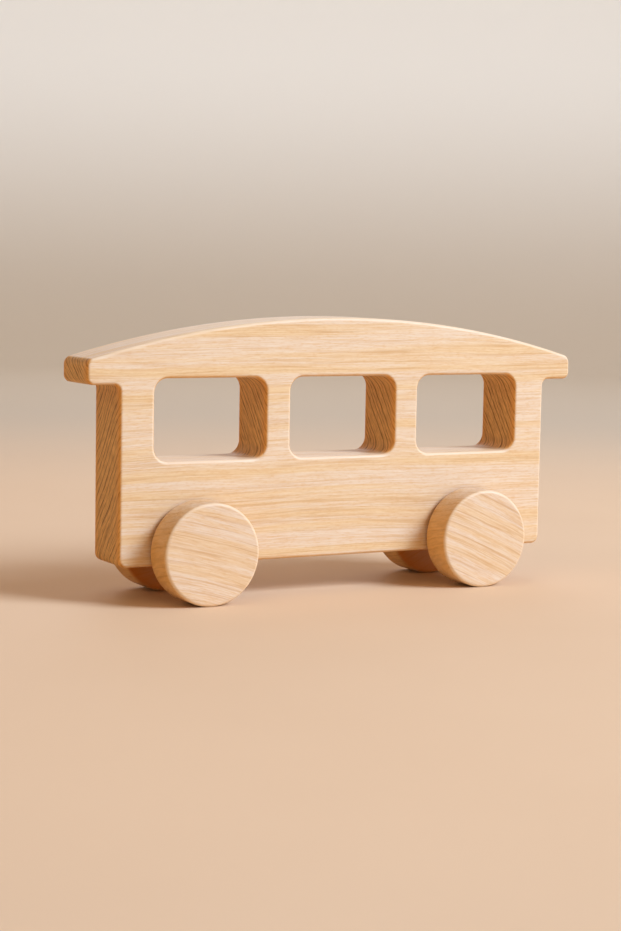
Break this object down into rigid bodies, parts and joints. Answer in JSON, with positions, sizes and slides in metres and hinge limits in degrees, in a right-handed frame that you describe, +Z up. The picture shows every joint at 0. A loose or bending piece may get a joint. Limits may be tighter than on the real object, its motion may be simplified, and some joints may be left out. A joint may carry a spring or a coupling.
{
  "type": "wooden toy carriage",
  "caption": "Push-along wooden carriage: an arched board with rounded edges and see-through windows, rolling on dowel axles with plain disc wheels.",
  "frame": {"origin": "on the floor, under the middle of the board", "axes": "+X along the board to the carriage's front, which is to the right in the picture, +Y to its left side, away from the viewer, +Z up"},
  "size_m": [0.1992, 0.05, 0.099],
  "materials": {
    "board_wood": "satin",
    "wheel_wood": "satin",
    "axle_wood": "satin"
  },
  "bodies": {
    "carriage": {"body": "board_wood"},
    "front_wheelset": {"front_axle": "axle_wood", "front_left_wheel": "wheel_wood", "front_right_wheel": "wheel_wood"},
    "rear_wheelset": {"rear_axle": "axle_wood", "rear_left_wheel": "wheel_wood", "rear_right_wheel": "wheel_wood"}
  },
  "joints": [
    {"name": "front_roll", "type": "hinge", "parent": "carriage", "child": "front_wheelset", "pos_m": [0.0535, 0, 0.018], "axis": [0, 1, 0], "continuous": true},
    {"name": "rear_roll", "type": "hinge", "parent": "carriage", "child": "rear_wheelset", "pos_m": [-0.0585, 0, 0.018], "axis": [0, 1, 0], "continuous": true}
  ]
}
